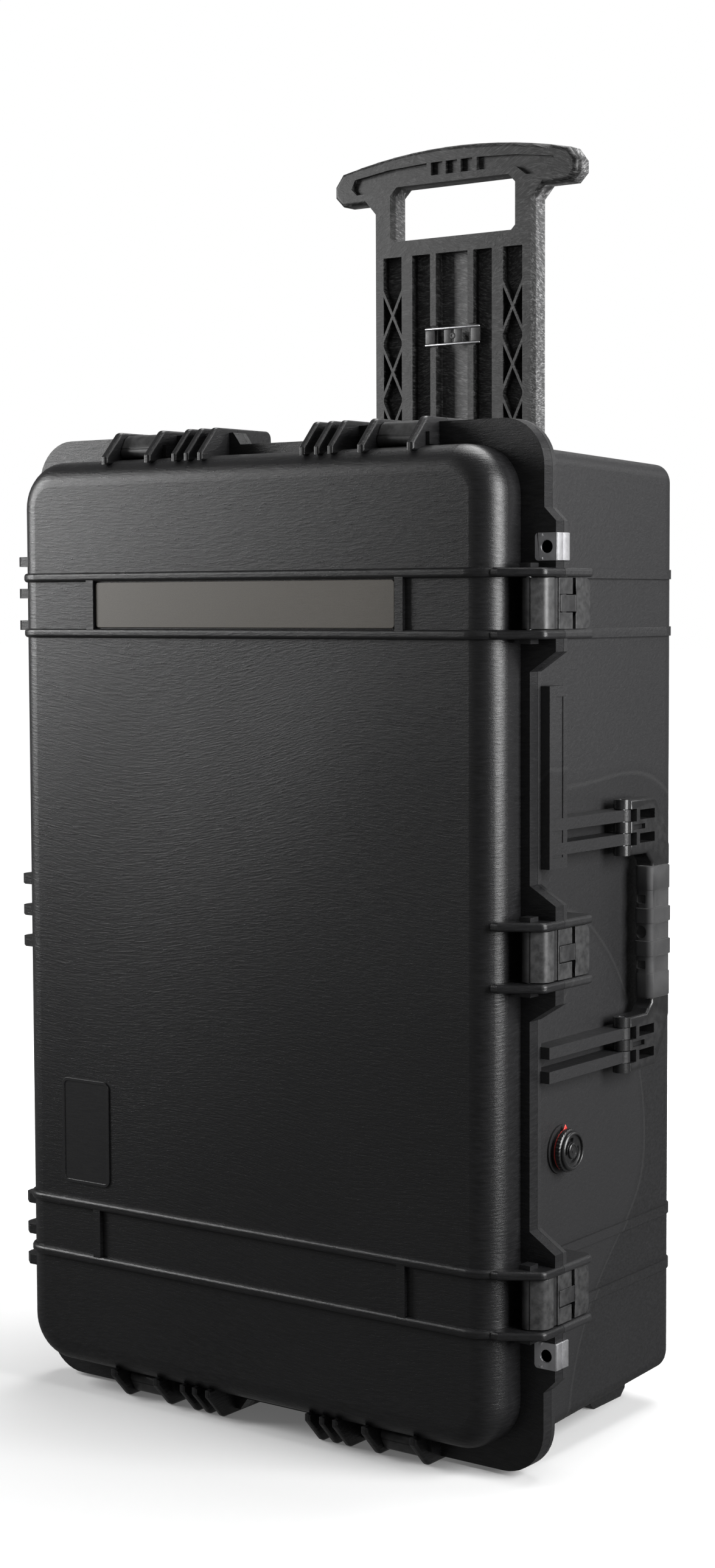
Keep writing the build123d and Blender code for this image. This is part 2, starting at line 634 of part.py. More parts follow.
# pressure valve on the right side
SEAT_X = RIGHT_X + 1
with BuildPart() as valve_body:
    rod(at_x(SEAT_X), VALVE_Y, VALVE_Z, VALVE_R - 2, 2.5)
    rod(at_x(RIGHT_X - 14), VALVE_Y, VALVE_Z, 6, 16)
    with BuildSketch(at_x(RIGHT_X - 13)) as nut:
        with Locations((VALVE_Y, VALVE_Z)):
            RegularPolygon(11, 6)
    extrude(nut.sketch, amount=5)
save(valve_body, "valve_body", BLACK)

with BuildPart() as valve_ring:
    rod(at_x(SEAT_X + 2.5), VALVE_Y, VALVE_Z, VALVE_R - 1, 1.1)
    tag_low = VALVE_Z + VALVE_R - 3
    tag = [(VALVE_Y - 4, tag_low), (VALVE_Y + 4, tag_low), (VALVE_Y, tag_low + 6)]
    prism(at_x(SEAT_X + 2.5), tag, 1.1)
save(valve_ring, "valve_ring", RED)

KNOB_X = SEAT_X + 4.0
with BuildPart() as valve_knob:
    rod(at_x(KNOB_X), VALVE_Y, VALVE_Z, VALVE_R, 7.5)
    chamfer(valve_knob.faces().sort_by(Axis.X)[-1].edges(), 1.6)
    rod(at_x(KNOB_X + 6.3), VALVE_Y, VALVE_Z, VALVE_R - 4, 3, Mode.SUBTRACT)
    rod(at_x(KNOB_X + 3), VALVE_Y, VALVE_Z, 5.5, 4.4)
    for side in (-1, 1):
        with BuildSketch(at_x(KNOB_X + 3.5)) as notch:
            with Locations((VALVE_Y + side * 8, VALVE_Z)):
                SlotOverall(7, 2.4, rotation=90)
        extrude(notch.sketch, amount=6, mode=Mode.SUBTRACT)
save(valve_knob, "valve_knob", BLACK)

# ================================================================ side handle
ARM = (233.5, 248.0)
SLEEVE_Y = (41.0, 74.0)
CORE_Y = (46.0, 69.0)
CORE_X = (236.0, 246.5)
half_outline = [(SH_Y, 63.5), (SH_Y, 107.5), (51, 107.5), (66, 88), (73.5, 68)]
inner_outline = [(CORE_Y[0], 0), (CORE_Y[0], 56), (38, 63.5)]
with BuildPart() as side_handle_frame:
    right_half = half_outline + [(CORE_Y[1] + 4.5, 0)] + inner_outline
    for side in (-1, 1):
        prism(at_x(ARM[0]), [(y, MID_Z + side * z) for y, z in right_half], ARM[1] - ARM[0])
    fillet(side_handle_frame.faces().sort_by(Axis.X)[-1].edges(), 2.5)
    for side in (-1, 1):
        for low, high in SH_RAILS:
            z0 = min(MID_Z + side * (low - 0.5), MID_Z + side * (high + 0.5))
            z1 = z0 + high - low + 1
            block(220, 260, SH_Y - 12, SH_Y + 9, z0, z1, Mode.SUBTRACT)
            block(220, 260, SH_Y + 14, 49, z0 + 1.2, z1 - 1.2, Mode.SUBTRACT)
        for low, high in SH_FINGERS:
            z0 = min(MID_Z + side * low, MID_Z + side * high)
            rod(Plane.XY.offset(z0), SH_X, SH_Y, SH_R, high - low)
        z0 = min(MID_Z + side * 81.5, MID_Z + side * 90)
        block(ARM[1] - 3, 260, SH_Y + 4, SH_Y + 22, z0 + 2.2, z0 + 6.3, Mode.SUBTRACT)
        z0 = min(MID_Z + side * 55, MID_Z + side * 120)
        rod(Plane.XY.offset(z0), SH_X, SH_Y, SH_PIN_R + 0.08, 65, Mode.SUBTRACT)
    for x0, x1 in ((220, CORE_X[0]), (CORE_X[1], 260)):
        block(x0, x1, 30, 90, MID_Z - GRIP_HALF, MID_Z + GRIP_HALF, Mode.SUBTRACT)
    block(220, 260, CORE_Y[1], 90, MID_Z - GRIP_HALF, MID_Z + GRIP_HALF, Mode.SUBTRACT)
save(side_handle_frame, "side_handle_frame", BLACK)

with BuildPart() as side_handle_grip:
    block(233, 249.5, *SLEEVE_Y, MID_Z - GRIP_HALF + 0.2, MID_Z + GRIP_HALF - 0.2)
    fillet(side_handle_grip.edges().filter_by(Axis.Z), 5)
    for z in (-34, 0, 34):
        block(248.5, 252, 50, 64, MID_Z + z - 8, MID_Z + z + 8, Mode.SUBTRACT)
    block(*CORE_X, *CORE_Y, MID_Z - 60, MID_Z + 60, Mode.SUBTRACT)
save(side_handle_grip, "side_handle_grip", GREY)

for name, side in (("upper", 1), ("lower", -1)):
    with BuildPart() as side_handle_pin:
        z0 = min(MID_Z + side * 64, MID_Z + side * 107)
        rod(Plane.XY.offset(z0), SH_X, SH_Y, SH_PIN_R, 43)
    save(side_handle_pin, f"side_handle_pin_{name}", STEEL)

# ================================================================ pull handle
GRIP_END = 125.5
GRIP_LOW = 1013.0
WINDOW = (65.0, 977.5, 1024.5)
GRIP_POCKET = (
    (26, 1031), (66, 1030), (76, 1022.5), (101, 1021.5), (107, 1027), (103, 1035), (66, 1040), (26, 1042),
)
GRIP_POCKET_DEPTH = 4.0
POCKET_TOP = 964.0
LANES = ((52.8, 72.3), (22.5, 41.5))
MID_LANE = 16.5
WEB = (PH_FRONT + 10.8, PH_FRONT + 14.0)
BRACE_T = 3.6
BRACE_PITCH = 49.0
BRACE_HALF = 22.5
BRACE_TOP = POCKET_TOP - 50.5
with BuildPart() as pull_handle:
    with BuildSketch(at_y(PH_FRONT)) as outline:
        with BuildLine():
            side = [
                (PH_W / 2, PH_BOTTOM), (PH_W / 2, GRIP_LOW - 10), (PH_W / 2 + 9, GRIP_LOW),
                (GRIP_END - 8, GRIP_LOW), (GRIP_END, GRIP_LOW + 8), (GRIP_END, GRIP_LOW + 18),
                (GRIP_END - 8, GRIP_LOW + 28.5),
            ]
            right = [(PH_X + x, z) for x, z in side]
            left = [(PH_X - x, z) for x, z in side]
            Polyline(*right)
            ThreePointArc(right[-1], (PH_X, PH_TOP), left[-1])
            Polyline(*left)
            Line(left[0], right[0])
        make_face()
    extrude(amount=-(PH_BACK - PH_FRONT))
    grip_edges = pull_handle.edges().filter_by(lambda edge: edge.center().Z > GRIP_LOW - 2)
    fillet(grip_edges.filter_by(lambda edge: abs(edge.center().Y - PH_MID_Y) > 8), 4)
    half, low, high = WINDOW
    window = [
        (-half, low + 4), (-half + 4, low), (half - 4, low), (half, low + 4),
        (half, high - 7), (half - 7, high), (-half + 7, high), (-half, high - 7),
    ]
    prism(at_y(PH_FRONT - 5), [(PH_X + x, z) for x, z in window], -40, Mode.SUBTRACT)
    for y0, y1 in ((PH_FRONT - 5, WEB[0]), (WEB[1], PH_BACK + 5)):
        for side in (-1, 1):
            for near, far in LANES:
                x0 = PH_X + min(side * near, side * far)
                block(x0, x0 + far - near, y0, y1, PH_BOTTOM + 6, POCKET_TOP, Mode.SUBTRACT)
        block(PH_X - MID_LANE, PH_X + MID_LANE, y0, y1, PH_BOTTOM + 6, POCKET_TOP, Mode.SUBTRACT)
    with BuildSketch(at_y(PH_FRONT)) as lattice:
        near, far = LANES[0]
        centre = (near + far) / 2
        reach = (far - near) / 2 + 0.8
        thick = BRACE_T / 2
        for i in range(int((BRACE_TOP - BRACE_HALF - PH_BOTTOM) / BRACE_PITCH) + 1):
            z = BRACE_TOP - i * BRACE_PITCH
            for x in (-centre, centre):
                for dx in (-reach, reach):
                    Polygon(
                        (PH_X + x - dx, z - BRACE_HALF - thick), (PH_X + x - dx, z - BRACE_HALF + 2 * thick),
                        (PH_X + x + dx, z + BRACE_HALF + thick), (PH_X + x + dx, z + BRACE_HALF - 2 * thick),
                        align=None,
                    )
    extrude(lattice.sketch, amount=-(PH_BACK - PH_FRONT))
    # pockets in the face of the grip: a long one at each end and three short ones between
    for side in (-1, 1):
        points = [(PH_X + side * x, z) for x, z in GRIP_POCKET]
        prism(at_y(PH_FRONT - 1), points, -GRIP_POCKET_DEPTH - 1, Mode.SUBTRACT)
    for x in (-15.5, 0, 15.5):
        block(
            PH_X + x - 6, PH_X + x + 6, PH_FRONT - 1, PH_FRONT + GRIP_POCKET_DEPTH,
            1031, 1042, Mode.SUBTRACT,
        )
    block(PH_X - 29, PH_X + 29, PH_FRONT - 1, PH_FRONT + 3.2, 883, 902, Mode.SUBTRACT)
save(pull_handle, "pull_handle", GREY)

with BuildPart() as handle_clip:
    block(PH_X - 28.5, PH_X + 28.5, PH_FRONT + 0.4, PH_FRONT + 3.2, 884, 901)
    fillet(handle_clip.edges().filter_by(Axis.Y), 3)
    block(PH_X - 20, PH_X + 20, PH_FRONT, PH_FRONT + 1.4, 889, 896, Mode.SUBTRACT)
save(handle_clip, "handle_clip", STEEL)
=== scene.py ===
import json
import math
import bmesh
import bpy
from mathutils import Matrix, Vector


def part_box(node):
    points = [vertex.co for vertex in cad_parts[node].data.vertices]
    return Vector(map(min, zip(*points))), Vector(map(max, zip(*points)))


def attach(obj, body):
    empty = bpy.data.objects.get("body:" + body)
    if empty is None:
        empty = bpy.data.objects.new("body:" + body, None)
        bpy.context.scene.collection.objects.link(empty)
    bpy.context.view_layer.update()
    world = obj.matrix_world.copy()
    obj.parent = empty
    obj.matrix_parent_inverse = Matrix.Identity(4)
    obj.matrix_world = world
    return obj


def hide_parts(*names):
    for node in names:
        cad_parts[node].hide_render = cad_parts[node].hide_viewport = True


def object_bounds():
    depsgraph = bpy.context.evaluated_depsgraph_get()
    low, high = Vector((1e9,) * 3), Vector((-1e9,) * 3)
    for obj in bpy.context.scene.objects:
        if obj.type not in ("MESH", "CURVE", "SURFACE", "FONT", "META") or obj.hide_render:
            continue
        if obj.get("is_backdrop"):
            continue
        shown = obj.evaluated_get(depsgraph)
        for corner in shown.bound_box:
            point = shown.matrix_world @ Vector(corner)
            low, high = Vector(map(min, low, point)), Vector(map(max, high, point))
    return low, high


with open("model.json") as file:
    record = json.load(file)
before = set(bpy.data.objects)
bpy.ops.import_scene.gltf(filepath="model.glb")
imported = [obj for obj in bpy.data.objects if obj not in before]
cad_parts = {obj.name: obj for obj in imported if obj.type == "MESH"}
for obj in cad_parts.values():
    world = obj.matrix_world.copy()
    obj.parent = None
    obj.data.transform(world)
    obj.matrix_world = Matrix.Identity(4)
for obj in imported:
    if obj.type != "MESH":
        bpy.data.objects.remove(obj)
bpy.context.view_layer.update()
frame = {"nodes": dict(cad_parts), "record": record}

scene = bpy.context.scene
nodes = frame["nodes"]
mounts = {mount["name"]: mount for mount in frame["record"]["mounts"]}


# ---------------------------------------------------------------- node helpers
class Tree:
    """A short way to write a material's nodes."""

    def __init__(self, name):
        self.material = bpy.data.materials.new(name)
        self.material.use_nodes = True
        self.tree = self.material.node_tree
        self.tree.nodes.clear()
        self.out = self.add("ShaderNodeOutputMaterial")
        self.shader = self.add("ShaderNodeBsdfPrincipled")
        self.link(self.shader.outputs["BSDF"], self.out.inputs["Surface"])
        self.coordinates = self.add("ShaderNodeTexCoord").outputs["Object"]

    def add(self, kind, **settings):
        node = self.tree.nodes.new(kind)
        for key, value in settings.items():
            setattr(node, key, value)
        return node

    def link(self, source, target):
        self.tree.links.new(source, target)

    def scaled(self, scale, rotation=(0, 0, 0), source=None):
        node = self.add("ShaderNodeMapping")
        node.inputs["Scale"].default_value = scale
        node.inputs["Rotation"].default_value = rotation
        self.link(source or self.coordinates, node.inputs["Vector"])
        return node.outputs["Vector"]

    def noise(self, vector, scale, detail=2.0, roughness=0.5, distortion=0.0):
        node = self.add("ShaderNodeTexNoise")
        node.inputs["Scale"].default_value = scale
        node.inputs["Detail"].default_value = detail
        node.inputs["Roughness"].default_value = roughness
        node.inputs["Distortion"].default_value = distortion
        self.link(vector, node.inputs["Vector"])
        return node.outputs["Fac"]

    def warped(self, scale, amount):
        """Coordinates pushed about by a broad noise, for flow marks that wander."""
        broad = self.add("ShaderNodeTexNoise")
        broad.inputs["Scale"].default_value = scale
        broad.inputs["Detail"].default_value = 1.0
        self.link(self.coordinates, broad.inputs["Vector"])
        centred = self.add("ShaderNodeVectorMath", operation="SUBTRACT")
        self.link(broad.outputs["Color"], centred.inputs[0])
        centred.inputs[1].default_value = (0.5, 0.5, 0.5)
        scaled = self.add("ShaderNodeVectorMath", operation="SCALE")
        self.link(centred.outputs[0], scaled.inputs[0])
        scaled.inputs["Scale"].default_value = amount
        total = self.add("ShaderNodeVectorMath", operation="ADD")
        self.link(self.coordinates, total.inputs[0])
        self.link(scaled.outputs[0], total.inputs[1])
        return total.outputs[0]

    def ramp(self, source, low, high, a, b):
        """Maps source from low..high onto a..b, held at both ends."""
        node = self.add("ShaderNodeMapRange")
        node.inputs["From Min"].default_value = low
        node.inputs["From Max"].default_value = high
        node.inputs["To Min"].default_value = a
        node.inputs["To Max"].default_value = b
        self.link(source, node.inputs["Value"])
        return node.outputs["Result"]

    def blend(self, source, a, b):
        """Colour from a to b as source goes from 0 to 1; each is a colour or a colour output."""
        node = self.add("ShaderNodeMix", data_type="RGBA")
        self.link(source, node.inputs["Factor"])
        for socket, value in ((node.inputs["A"], a), (node.inputs["B"], b)):
            if isinstance(value, tuple):
                socket.default_value = (*value, 1)
            else:
                self.link(value, socket)
        return node.outputs["Result"]

    def times(self, a, b):
        node = self.add("ShaderNodeMath", operation="MULTIPLY")
        self.link(a, node.inputs[0])
        self.link(b, node.inputs[1])
        return node.outputs[0]

    def bump(self, *layers):
        """Stacks bumps given as (height output, distance in metres)."""
        normal = None
        for height, distance in layers:
            node = self.add("ShaderNodeBump")
            node.inputs["Distance"].default_value = distance
            self.link(height, node.inputs["Height"])
            if normal:
                self.link(normal, node.inputs["Normal"])
            normal = node.outputs["Normal"]
        self.link(normal, self.shader.inputs["Normal"])

    def colour(self, value):
        self.link(value, self.shader.inputs["Base Color"])

    def roughness(self, value):
        self.link(value, self.shader.inputs["Roughness"])

    def constant(self, name, value):
        self.shader.inputs[name].default_value = value


REFLECTION_EDGE = 0.50             # noise level along which a painted reflection edge runs across the base
REFLECTION_STEP = 0.015       # how far past it the painted reflection has lifted the tone
REFLECTION_LINE = 0.004       # half width of the painted bright line along the reflection edge
REFLECTED_LINE = (0.06, 0.06, 0.06)
SCUFF = (0.16, 0.16, 0.16)
RUBBED = (0.12, 0.12, 0.12)


def grained_plastic(name, dark, light, rough, grain, depth, turn=(0, 0, 0), painted_reflection=0.0, marks=0.0):
    """Moulded polypropylene: fine flow grain that wanders, faint clouding and a fine bump."""
    t = Tree(name)
    flow = t.warped(2.6, 0.11)
    streaks = t.noise(t.scaled(grain, turn, flow), 1.0, 4.0, 0.68)
    clouds = t.noise(t.coordinates, 5.5, 3.0, 0.55)
    specks = t.noise(t.coordinates, 1900, 2.0, 0.6)
    tone = t.blend(t.ramp(streaks, 0.36, 0.66, 0, 1), dark, light)
    tone = t.blend(t.ramp(clouds, 0.35, 0.7, 0, 0.3), tone, light)
    # painted reflection: past a wandering noise edge the tone is painted lighter, with a painted bright
    # line along that edge
    if painted_reflection:
        front = t.noise(flow, 3.4, 0.0, 0.5)
        tone = t.blend(t.ramp(front, REFLECTION_EDGE, REFLECTION_EDGE + REFLECTION_STEP, 0, painted_reflection), tone, light)
        rise = t.ramp(front, REFLECTION_EDGE - REFLECTION_LINE, REFLECTION_EDGE, 0, 1)
        fall = t.ramp(front, REFLECTION_EDGE, REFLECTION_EDGE + REFLECTION_LINE, 1, 0)
        tone = t.blend(t.ramp(t.times(rise, fall), 0, 1, 0, 0.25), tone, REFLECTED_LINE)
    if marks:
        scuffs = t.noise(t.scaled((30, 30, 8), (0.5, 0.2, 0.3)), 1.0, 5.0, 0.7, 1.5)
        tone = t.blend(t.ramp(scuffs, 0.70, 0.80, 0, marks), tone, SCUFF)
    t.colour(tone)
    t.roughness(t.ramp(streaks, 0.36, 0.66, rough + 0.06, rough - 0.07))
    t.constant("Specular IOR Level", 0.5)
    t.bump((streaks, depth), (specks, depth * 0.4))
    return t.material


SHELL = grained_plastic(
    "shell_black", (0.004, 0.004, 0.0045), (0.019, 0.019, 0.02), 0.33, (95, 95, 640), 2.8e-4,
)
# the base's tone step and bright line are a painted reflection; its scuffs are real wear
BASE = grained_plastic(
    "shell_black_base", (0.007, 0.007, 0.0075), (0.020, 0.020, 0.021), 0.44,
    (260, 260, 420), 3e-4, (0.5, 0.3, 0.4), painted_reflection=0.7, marks=0.5,
)


def worn_plastic(name, dark, light, rough, wear, coat=0.0):
    """Satin moulded plastic, rubbed paler along its edges."""
    t = Tree(name)
    mottle = t.noise(t.coordinates, 160, 4.0, 0.6)
    fine = t.noise(t.coordinates, 1800, 2.0, 0.5)
    tone = t.blend(t.ramp(mottle, 0.3, 0.7, 0, 1), dark, light)
    edge = t.add("ShaderNodeNewGeometry").outputs["Pointiness"]
    rubbed = t.times(t.ramp(edge, 0.52, 0.60, 0, wear), t.ramp(mottle, 0.35, 0.6, 0.3, 1))
    t.colour(t.blend(rubbed, tone, RUBBED))
    t.roughness(t.ramp(fine, 0.3, 0.7, rough - 0.05, rough + 0.08))
    t.constant("Coat Weight", coat)
    t.constant("Coat Roughness", 0.12)
    t.bump((fine, 4e-5), (mottle, 6e-5))
    return t.material


LATCH = worn_plastic("latch_satin", (0.012, 0.012, 0.0125), (0.032, 0.032, 0.033), 0.38, 0.5)
GLOSSY = worn_plastic("handle_gloss", (0.010, 0.010, 0.0105), (0.016, 0.016, 0.0165), 0.30, 0.1, 0.25)


PANEL_FACE = 0.1436        # Y of the pull handle's sunk panels, in metres
PANEL_FILL_FADE = (0.003, 0.001)  # the painted fill light on the panels rises between these distances in front of them


def flow_marked():
    """Glass-filled nylon with swirled fibres, black in front; from the sunk panels to the back its ground
    and fibres are painted paler, painted fill light against the shade of the ribs.
    """
    t = Tree("handle_swirl")
    flow = t.warped(9.0, 0.09)
    fibres = t.noise(t.scaled((170, 170, 900), (0.0, 0.75, 0.0), flow), 1.0, 5.0, 0.72, 0.5)
    curls = t.noise(flow, 55, 4.0, 0.65, 2.4)
    swirl = t.times(t.ramp(fibres, 0.47, 0.72, 0, 1), t.ramp(curls, 0.32, 0.62, 0.25, 1))
    axes = t.add("ShaderNodeSeparateXYZ")
    t.link(t.coordinates, axes.inputs[0])
    # painted fill light: the sunk panels and everything behind them get a paler ground and paler fibres to
    # stand against the shade cast by the ribs
    sunk = t.ramp(axes.outputs["Y"], PANEL_FACE - PANEL_FILL_FADE[0], PANEL_FACE - PANEL_FILL_FADE[1], 0, 1)
    ground = t.blend(sunk, (0.006, 0.006, 0.006), (0.060, 0.060, 0.061))
    fibre = t.blend(sunk, (0.16, 0.16, 0.16), (0.55, 0.55, 0.55))
    t.colour(t.blend(swirl, ground, fibre))
    t.roughness(t.ramp(fibres, 0.3, 0.7, 0.36, 0.56))
    t.bump((fibres, 1.2e-4), (curls, 1e-4))
    return t.material


SWIRL = flow_marked()


def soft_rubber(name, dark, light, scale):
    """Matt rubber with a fine skin and a little sheen."""
    t = Tree(name)
    fine = t.noise(t.coordinates, scale, 3.0, 0.6)
    broad = t.noise(t.coordinates, 70, 2.0, 0.5)
    t.colour(t.blend(t.ramp(broad, 0.3, 0.7, 0, 1), dark, light))
    t.roughness(t.ramp(fine, 0.3, 0.7, 0.55, 0.75))
    t.constant("Sheen Weight", 0.15)
    t.constant("Sheen Roughness", 0.4)
    t.bump((fine, 8e-5))
    return t.material


GRIP = soft_rubber("grip_rubber_grey", (0.024, 0.024, 0.025), (0.040, 0.040, 0.041), 1500)
SEAL = soft_rubber("seal_rubber", (0.008, 0.008, 0.008), (0.014, 0.014, 0.014), 1200)
TREAD = soft_rubber("wheel_tread", (0.014, 0.014, 0.014), (0.026, 0.026, 0.026), 900)


def metal(name, colour, rough, lines):
    """Brushed metal, smeared darker in patches."""
    t = Tree(name)
    brushed = t.noise(t.scaled(lines), 1.0, 4.0, 0.7)
    smear = t.noise(t.coordinates, 90, 3.0, 0.6)
    t.colour(t.blend(t.ramp(smear, 0.3, 0.7, 0, 1), colour, tuple(c * 0.72 for c in colour)))
    t.roughness(t.ramp(brushed, 0.3, 0.7, rough - 0.07, rough + 0.1))
    t.constant("Metallic", 1.0)
    t.bump((brushed, 3e-5))
    return t.material


STEEL = metal("steel_brushed", (0.80, 0.80, 0.82), 0.40, (300, 300, 5200))


def plate(name, dark, light, rough, coat):
    """Printed plate: speckled tone, light horizontal brushing, thin clear layer."""
    t = Tree(name)
    speck = t.noise(t.coordinates, 2300, 2.0, 0.6)
    brushed = t.noise(t.scaled((120, 120, 2600)), 1.0, 3.0, 0.6)
    t.colour(t.blend(t.ramp(speck, 0.35, 0.68, 0, 1), dark, light))
    t.roughness(t.ramp(brushed, 0.3, 0.7, rough - 0.05, rough + 0.07))
    t.constant("Coat Weight", coat)
    t.constant("Coat Roughness", 0.25)
    t.bump((brushed, 3e-5), (speck, 3e-5))
    return t.material


BRONZE = plate("nameplate_bronze", (0.105, 0.096, 0.081), (0.165, 0.150, 0.128), 0.42, 0.15)
BLANK = plate("label_black", (0.010, 0.010, 0.011), (0.020, 0.020, 0.021), 0.34, 0.25)
RED = worn_plastic("marker_red", (0.55, 0.035, 0.025), (0.70, 0.05, 0.04), 0.35, 0.0, 0.3)

LOOKS = {
    "lid_shell": SHELL,
    "base_shell": BASE,
    "handle_channel": BASE,
    "pull_handle": SWIRL,
    "handle_clip": STEEL,
    "side_handle_frame": GLOSSY,
    "side_handle_grip": GRIP,
    "nameplate": BRONZE,
    "label_plate": BLANK,
    "valve_ring": RED,
    "valve_body": GLOSSY,
    "valve_knob": GLOSSY,
    "lid_gasket": SEAL,
}


def look_for(name):
    if name in LOOKS:
        return LOOKS[name]
    if "pin" in name or "axle" in name or "padlock" in name:
        return STEEL
    if "tyre" in name:
        return TREAD
    if "latch" in name:
        return LATCH
    return BASE


# ---------------------------------------------------------------- CAD nodes: looks and rounded edges
WELD_GAP = 1e-5
FLAT_ANGLE = 0.6
EDGE_ANGLE = 35
FINE_EDGE_ANGLE = 50
BEVEL_SEGMENTS = 2


def shade_smooth(mesh):
    mesh.polygons.foreach_set("use_smooth", [True] * len(mesh.polygons))


def soften(obj, width, angle, clamp):
    """Rounds a CAD node's hard edges with modifiers; its mesh stays as it is."""
    shade_smooth(obj.data)
    weld = obj.modifiers.new("weld", "WELD")
    weld.merge_threshold = WELD_GAP
    merge = obj.modifiers.new("merge_flats", "DECIMATE")
    merge.decimate_type = "DISSOLVE"
    merge.angle_limit = math.radians(FLAT_ANGLE)
    bevel = obj.modifiers.new("edges", "BEVEL")
    bevel.width = width
    bevel.segments = BEVEL_SEGMENTS
    bevel.limit_method = "ANGLE"
    bevel.angle_limit = math.radians(angle)
    bevel.use_clamp_overlap = clamp
    bevel.harden_normals = True
    normals = obj.modifiers.new("normals", "WEIGHTED_NORMAL")
    normals.keep_sharp = True


EDGE_WIDTH = 0.0005
EDGE_WIDTHS = {
    "pull_handle": 0.0007,
    "side_handle_frame": 0.0012,
    "side_handle_grip": 0.0008,
    "handle_channel": 0.001,
    "lid_gasket": 0.0003,
    "nameplate": 0.0002,
    "label_plate": 0.0002,
    "padlock_plate_upper": 0.0002,
    "padlock_plate_lower": 0.0002,
}
FINE_EDGED = ("pull_handle", "side_handle_frame")
ROUNDED_IN_CAD = ("lid_shell", "base_shell")  # a bevel throws spikes on these
for name, node in nodes.items():
    node.data.materials.clear()
    node.data.materials.append(look_for(name))
    if name in ROUNDED_IN_CAD:
        shade_smooth(node.data)
        continue
    fine = name in FINE_EDGED
    soften(node, EDGE_WIDTHS.get(name, EDGE_WIDTH), FINE_EDGE_ANGLE if fine else EDGE_ANGLE, clamp=fine)

# ---------------------------------------------------------------- mesh helpers
MM = 0.001


def piece(name, bm, material, body, sharp=EDGE_ANGLE):
    """Turns a bmesh in metres into a shaded piece that rides on a body."""
    bmesh.ops.recalc_face_normals(bm, faces=bm.faces)
    mesh = bpy.data.meshes.new(name)
    bm.to_mesh(mesh)
    bm.free()
    mesh.materials.append(material)
    shade_smooth(mesh)
    mesh.set_sharp_from_angle(angle=math.radians(sharp))
    obj = bpy.data.objects.new(name, mesh)
    scene.collection.objects.link(obj)
    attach(obj, body)
    return obj


def loft(sections):
    """Skins a list of closed sections, each a list of points with the same count, and caps its ends."""
    bm = bmesh.new()
    rings = [[bm.verts.new(point) for point in section] for section in sections]
    for one, two in zip(rings, rings[1:]):
        for i in range(len(one)):
            j = (i + 1) % len(one)
            bm.faces.new((one[i], one[j], two[j], two[i]))
    bm.faces.new(rings[0])
    bm.faces.new(rings[-1])
    return bm


def turned(profile, origin, axis, segments=48, shape=None):
    """A turned form from (radius, distance along axis) in mm. shape may change a point by its angle."""
    axis = Vector(axis).normalized()
    side = axis.orthogonal().normalized()
    other = axis.cross(side)
    sections = []
    for radius, along in profile:
        ring = []
        for i in range(segments):
            angle = 2 * math.pi * i / segments
            r, a = shape(radius, along, angle) if shape else (radius, along)
            spoke = side * math.cos(angle) + other * math.sin(angle)
            ring.append(Vector(origin) + (spoke * r + axis * a) * MM)
        sections.append(ring)
    return loft(sections)


def rounded_outline(x0, x1, y0, y1, radius, steps=5):
    """Points of a rectangle with rounded corners, going round once."""
    points = []
    for cx, cy, start in ((x1, y1, 0), (x0, y1, 90), (x0, y0, 180), (x1, y0, 270)):
        for i in range(steps + 1):
            angle = math.radians(start + 90 * i / steps)
            inset_x = cx - radius if start in (0, 270) else cx + radius
            inset_y = cy - radius if start in (0, 90) else cy + radius
            points.append((inset_x + radius * math.cos(angle), inset_y + radius * math.sin(angle)))
    return points


def slab(low, high, edge, segments=2):
    """A box between two corners in mm, with bevelled edges."""
    bm = bmesh.new()
    low, high = Vector(low) * MM, Vector(high) * MM
    bmesh.ops.create_cube(bm, size=1.0)
    for vert in bm.verts:
        vert.co = Vector(((low[i] + high[i]) / 2 + vert.co[i] * (high[i] - low[i])) for i in range(3))
    bmesh.ops.bevel(bm, geom=bm.edges[:], offset=edge * MM, segments=segments, affect="EDGES", profile=0.6)
    return bm


def cut(bm, cutters):
    """Subtracts closed bmeshes from a bmesh."""
    def holder(source, label):
        mesh = bpy.data.meshes.new(label)
        bmesh.ops.recalc_face_normals(source, faces=source.faces)
        source.to_mesh(mesh)
        source.free()
        obj = bpy.data.objects.new(label, mesh)
        scene.collection.objects.link(obj)
        return obj

    target = holder(bm, "cut_target")
    tools = [holder(cutter, f"cut_tool_{i}") for i, cutter in enumerate(cutters)]
    for tool in tools:
        modifier = target.modifiers.new("cut", "BOOLEAN")
        modifier.operation = "DIFFERENCE"
        modifier.solver = "EXACT"
        modifier.object = tool
    result = bmesh.new()
    evaluated = target.evaluated_get(bpy.context.evaluated_depsgraph_get())
    result.from_mesh(evaluated.to_mesh())
    for obj in [target, *tools]:
        bpy.data.objects.remove(obj)
    return result


def middle(name):
    low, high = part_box(name)
    return (low + high) / 2


# ---------------------------------------------------------------- pressure valve knob
KNOB_RIM = 16.0
KNOB_RIBS = 36
KNOB_RIB_RISE = 0.22
KNOB_FACE = 5.0
SLOT_RADII = (7.0, 9.7)
SLOT_FLOOR = 2.6


def knob_shape(radius, along, angle):
    """Fine ribs round the rim, and two curved coin slots in the face."""
    if radius > KNOB_RIM:
        radius += KNOB_RIB_RISE * math.cos(KNOB_RIBS * angle)
    if SLOT_RADII[0] < radius < SLOT_RADII[1] and along == KNOB_FACE and abs(math.sin(angle)) > 0.5:
        along = SLOT_FLOOR
    return radius, along


